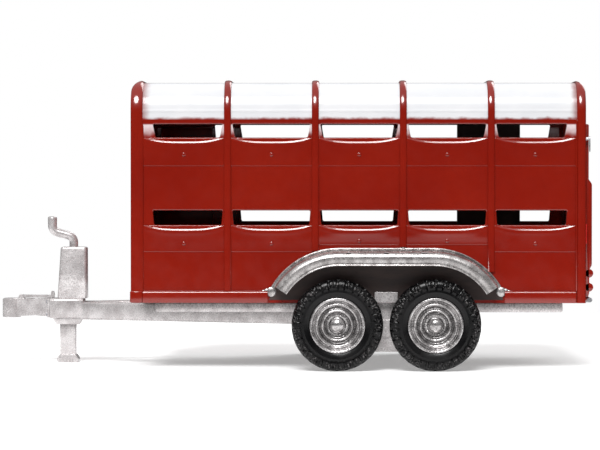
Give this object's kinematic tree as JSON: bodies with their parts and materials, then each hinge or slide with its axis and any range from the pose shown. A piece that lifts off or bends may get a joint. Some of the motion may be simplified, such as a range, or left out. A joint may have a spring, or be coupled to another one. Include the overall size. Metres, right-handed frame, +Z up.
{
  "type": "livestock trailer",
  "caption": "Enclosed twin-axle trailer for cattle, sheep and pigs, with slotted sides, a rounded roof, a tail ramp, an A-frame drawbar and a screw prop stand.",
  "frame": {"origin": "on the ground, under the middle of the overall length and width", "axes": "-X is forward towards the coupling, -Y is the trailer's left side, +Z is up"},
  "size_m": [4.844, 2.286, 2.324],
  "materials": {
    "red_aluminium": "gloss red enamel on aluminium",
    "white_aluminium": "gloss white enamel on aluminium",
    "silver_steel": "satin silver paint on steel, slightly grainy",
    "silver_cast": "satin silver paint on a casting",
    "bright_steel": "bright zinc plate",
    "silver_aluminium": "mill finish",
    "dark_panel": "dark brown-black satin",
    "floor_board": "dark phenolic board",
    "gate_board": "dark phenolic board",
    "tyre": "black rubber",
    "lamp_red": "red lens"
  },
  "bodies": {
    "trailer": {"chassis_frame": "silver_steel", "drawbar": "silver_steel", "nose_block": "silver_steel", "coupling_head": "silver_cast", "coupling_bolts": "bright_steel", "jack_housing": "silver_steel", "floor_deck": "floor_board", "front_wall": "red_aluminium", "front_frame": "red_aluminium", "rear_frame": "red_aluminium", "roof": "white_aluminium", "roof_hoops": "red_aluminium", "sill_rails": "red_aluminium", "side_sheet_left": "red_aluminium", "side_sheet_right": "red_aluminium", "splash_panels": "dark_panel", "mudguard_left": "silver_steel", "mudguard_right": "silver_steel", "mudguard_stays": "silver_steel", "bogie_hangers": "silver_steel", "rear_lamps": "lamp_red", "ramp_hinge": "bright_steel", "gate_bracket": "bright_steel"},
    "bogie": {"rocker_beams": "silver_steel", "axles": "silver_steel"},
    "wheel_front_left": {"tyre_front_left": "tyre", "rim_front_left": "silver_steel", "hub_front_left": "silver_steel"},
    "wheel_front_right": {"tyre_front_right": "tyre", "rim_front_right": "silver_steel", "hub_front_right": "silver_steel"},
    "wheel_rear_left": {"tyre_rear_left": "tyre", "rim_rear_left": "silver_steel", "hub_rear_left": "silver_steel"},
    "wheel_rear_right": {"tyre_rear_right": "tyre", "rim_rear_right": "silver_steel", "hub_rear_right": "silver_steel"},
    "coupling_lever": {"coupling_lever": "silver_cast"},
    "jack_leg": {"jack_leg": "silver_steel", "jack_foot": "silver_steel"},
    "jack_screw": {"jack_screw": "bright_steel"},
    "jack_crank": {"jack_crank": "silver_steel"},
    "ramp": {"ramp_panel": "red_aluminium", "ramp_cleats": "silver_aluminium"},
    "ramp_latch_left": {"ramp_latch_left": "bright_steel"},
    "ramp_latch_right": {"ramp_latch_right": "bright_steel"},
    "inspection_door": {"inspection_door": "red_aluminium"},
    "door_handle": {"door_handle": "bright_steel"},
    "gate_leaf_1": {"gate_leaf_1": "gate_board"},
    "gate_leaf_2": {"gate_leaf_2": "gate_board"},
    "gate_leaf_3": {"gate_leaf_3": "gate_board"},
    "shutter_left_1": {"shutter_left_1": "red_aluminium"},
    "shutter_left_2": {"shutter_left_2": "red_aluminium"},
    "shutter_left_3": {"shutter_left_3": "red_aluminium"},
    "shutter_left_4": {"shutter_left_4": "red_aluminium"},
    "shutter_left_5": {"shutter_left_5": "red_aluminium"},
    "shutter_right_2": {"shutter_right_2": "red_aluminium"},
    "shutter_right_3": {"shutter_right_3": "red_aluminium"},
    "shutter_right_4": {"shutter_right_4": "red_aluminium"},
    "shutter_right_5": {"shutter_right_5": "red_aluminium"}
  },
  "joints": [
    {"name": "bogie_rock", "type": "hinge", "parent": "trailer", "child": "bogie", "pos_m": [0.761, 0, 0.3], "axis": [0, 1, 0], "range_deg": [-5, 5]},
    {"name": "wheel_front_left_turn", "type": "hinge", "parent": "bogie", "child": "wheel_front_left", "pos_m": [0.371, -1.0325, 0.365], "axis": [0, 1, 0], "continuous": true},
    {"name": "wheel_front_right_turn", "type": "hinge", "parent": "bogie", "child": "wheel_front_right", "pos_m": [0.371, 1.0325, 0.365], "axis": [0, 1, 0], "continuous": true},
    {"name": "wheel_rear_left_turn", "type": "hinge", "parent": "bogie", "child": "wheel_rear_left", "pos_m": [1.151, -1.0325, 0.365], "axis": [0, 1, 0], "continuous": true},
    {"name": "wheel_rear_right_turn", "type": "hinge", "parent": "bogie", "child": "wheel_rear_right", "pos_m": [1.151, 1.0325, 0.365], "axis": [0, 1, 0], "continuous": true},
    {"name": "coupling_lever_lift", "type": "hinge", "parent": "trailer", "child": "coupling_lever", "pos_m": [-2.266, 0, 0.55], "axis": [0, -1, 0], "range_deg": [0, 50]},
    {"name": "jack_crank_turn", "type": "hinge", "parent": "trailer", "child": "jack_crank", "pos_m": [-1.8275, 0, 0.968], "axis": [0, 0, 1], "range_deg": [0, 7200]},
    {"name": "jack_screw_turn", "type": "hinge", "parent": "trailer", "child": "jack_screw", "pos_m": [-1.8735, 0, 0.9], "axis": [0, 0, 1], "range_deg": [-7200, 0]},
    {"name": "jack_leg_lift", "type": "slide", "parent": "trailer", "child": "jack_leg", "axis": [0, 0, 1], "range_m": [0, 0.24]},
    {"name": "ramp_hinge_turn", "type": "hinge", "parent": "trailer", "child": "ramp", "pos_m": [2.392, 0, 0.56], "axis": [0, 1, 0], "range_deg": [0, 112]},
    {"name": "ramp_latch_left_turn", "type": "hinge", "parent": "trailer", "child": "ramp_latch_left", "pos_m": [2.384, -0.883, 1.85], "axis": [-1, 0, 0], "range_deg": [0, 90]},
    {"name": "ramp_latch_right_turn", "type": "hinge", "parent": "trailer", "child": "ramp_latch_right", "pos_m": [2.384, 0.883, 1.85], "axis": [1, 0, 0], "range_deg": [0, 90]},
    {"name": "inspection_door_swing", "type": "hinge", "parent": "trailer", "child": "inspection_door", "pos_m": [-1.172, 0.919, 1.3], "axis": [0, 0, 1], "range_deg": [0, 100]},
    {"name": "door_handle_turn", "type": "hinge", "parent": "inspection_door", "child": "door_handle", "pos_m": [-0.74, 0.915, 1.3], "axis": [0, 1, 0], "range_deg": [0, 90]},
    {"name": "gate_leaf_1_swing", "type": "hinge", "parent": "trailer", "child": "gate_leaf_1", "pos_m": [1.396, 0.875, 1.267], "axis": [0, 0, -1], "range_deg": [0, 90]},
    {"name": "gate_leaf_2_fold", "type": "hinge", "parent": "gate_leaf_1", "child": "gate_leaf_2", "pos_m": [1.948, 0.863, 1.267], "axis": [0, 0, 1], "range_deg": [0, 180]},
    {"name": "gate_leaf_3_fold", "type": "hinge", "parent": "gate_leaf_2", "child": "gate_leaf_3", "pos_m": [1.396, 0.839, 1.267], "axis": [0, 0, -1], "range_deg": [0, 180]},
    {"name": "shutter_left_1_slide", "type": "slide", "parent": "trailer", "child": "shutter_left_1", "axis": [0, 0, 1], "range_m": [0, 0.148]},
    {"name": "shutter_left_2_slide", "type": "slide", "parent": "trailer", "child": "shutter_left_2", "axis": [0, 0, 1], "range_m": [0, 0.148]},
    {"name": "shutter_left_3_slide", "type": "slide", "parent": "trailer", "child": "shutter_left_3", "axis": [0, 0, 1], "range_m": [0, 0.148]},
    {"name": "shutter_left_4_slide", "type": "slide", "parent": "trailer", "child": "shutter_left_4", "axis": [0, 0, 1], "range_m": [0, 0.148]},
    {"name": "shutter_left_5_slide", "type": "slide", "parent": "trailer", "child": "shutter_left_5", "axis": [0, 0, 1], "range_m": [0, 0.148]},
    {"name": "shutter_right_2_slide", "type": "slide", "parent": "trailer", "child": "shutter_right_2", "axis": [0, 0, 1], "range_m": [0, 0.148]},
    {"name": "shutter_right_3_slide", "type": "slide", "parent": "trailer", "child": "shutter_right_3", "axis": [0, 0, 1], "range_m": [0, 0.148]},
    {"name": "shutter_right_4_slide", "type": "slide", "parent": "trailer", "child": "shutter_right_4", "axis": [0, 0, 1], "range_m": [0, 0.148]},
    {"name": "shutter_right_5_slide", "type": "slide", "parent": "trailer", "child": "shutter_right_5", "axis": [0, 0, 1], "range_m": [0, 0.148]}
  ],
  "couplings": [
    {"joint": "jack_screw_turn", "follows": "jack_crank_turn", "ratio": -1},
    {"joint": "jack_leg_lift", "follows": "jack_crank_turn", "m_per_rad": 0.0019099},
    {"joint": "gate_leaf_2_fold", "follows": "gate_leaf_1_swing", "ratio": 2},
    {"joint": "gate_leaf_3_fold", "follows": "gate_leaf_1_swing", "ratio": 2}
  ]
}
